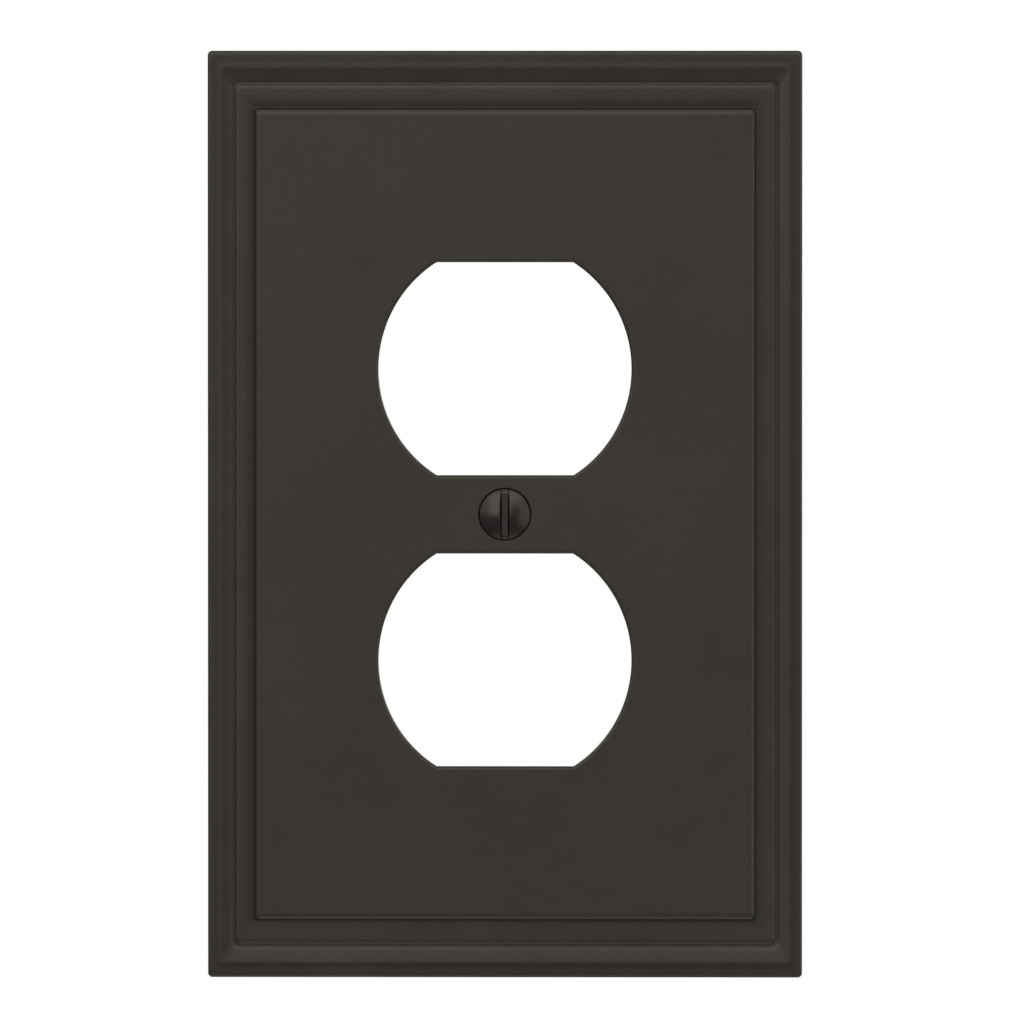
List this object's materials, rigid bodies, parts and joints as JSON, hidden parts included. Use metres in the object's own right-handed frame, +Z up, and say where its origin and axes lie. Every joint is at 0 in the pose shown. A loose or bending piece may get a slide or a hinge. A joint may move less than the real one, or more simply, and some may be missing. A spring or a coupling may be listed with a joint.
{
  "type": "wall plate cover",
  "caption": "Rectangular receptacle wall plate with a beaded, stepped border, a raised centre panel, round openings with flat tops and bottoms, and a slotted oval-head screw at its centre.",
  "frame": {"origin": "where the screw's axis crosses the wall plane, which is also the centre of the plate's back rim", "axes": "+Z up the plate, -Y out of its front face into the room, +X to the right as seen from the front"},
  "size_m": [0.0794, 0.0136, 0.1238],
  "materials": {
    "bronze_plate": "satin",
    "bronze_screw": "satin"
  },
  "bodies": {
    "plate": {"wall_plate": "bronze_plate"},
    "screw": {"mounting_screw": "bronze_screw"}
  },
  "joints": [
    {"name": "screw_travel", "type": "slide", "parent": "plate", "child": "screw", "axis": [0, -1, 0], "range_m": [0, 0.018]}
  ]
}
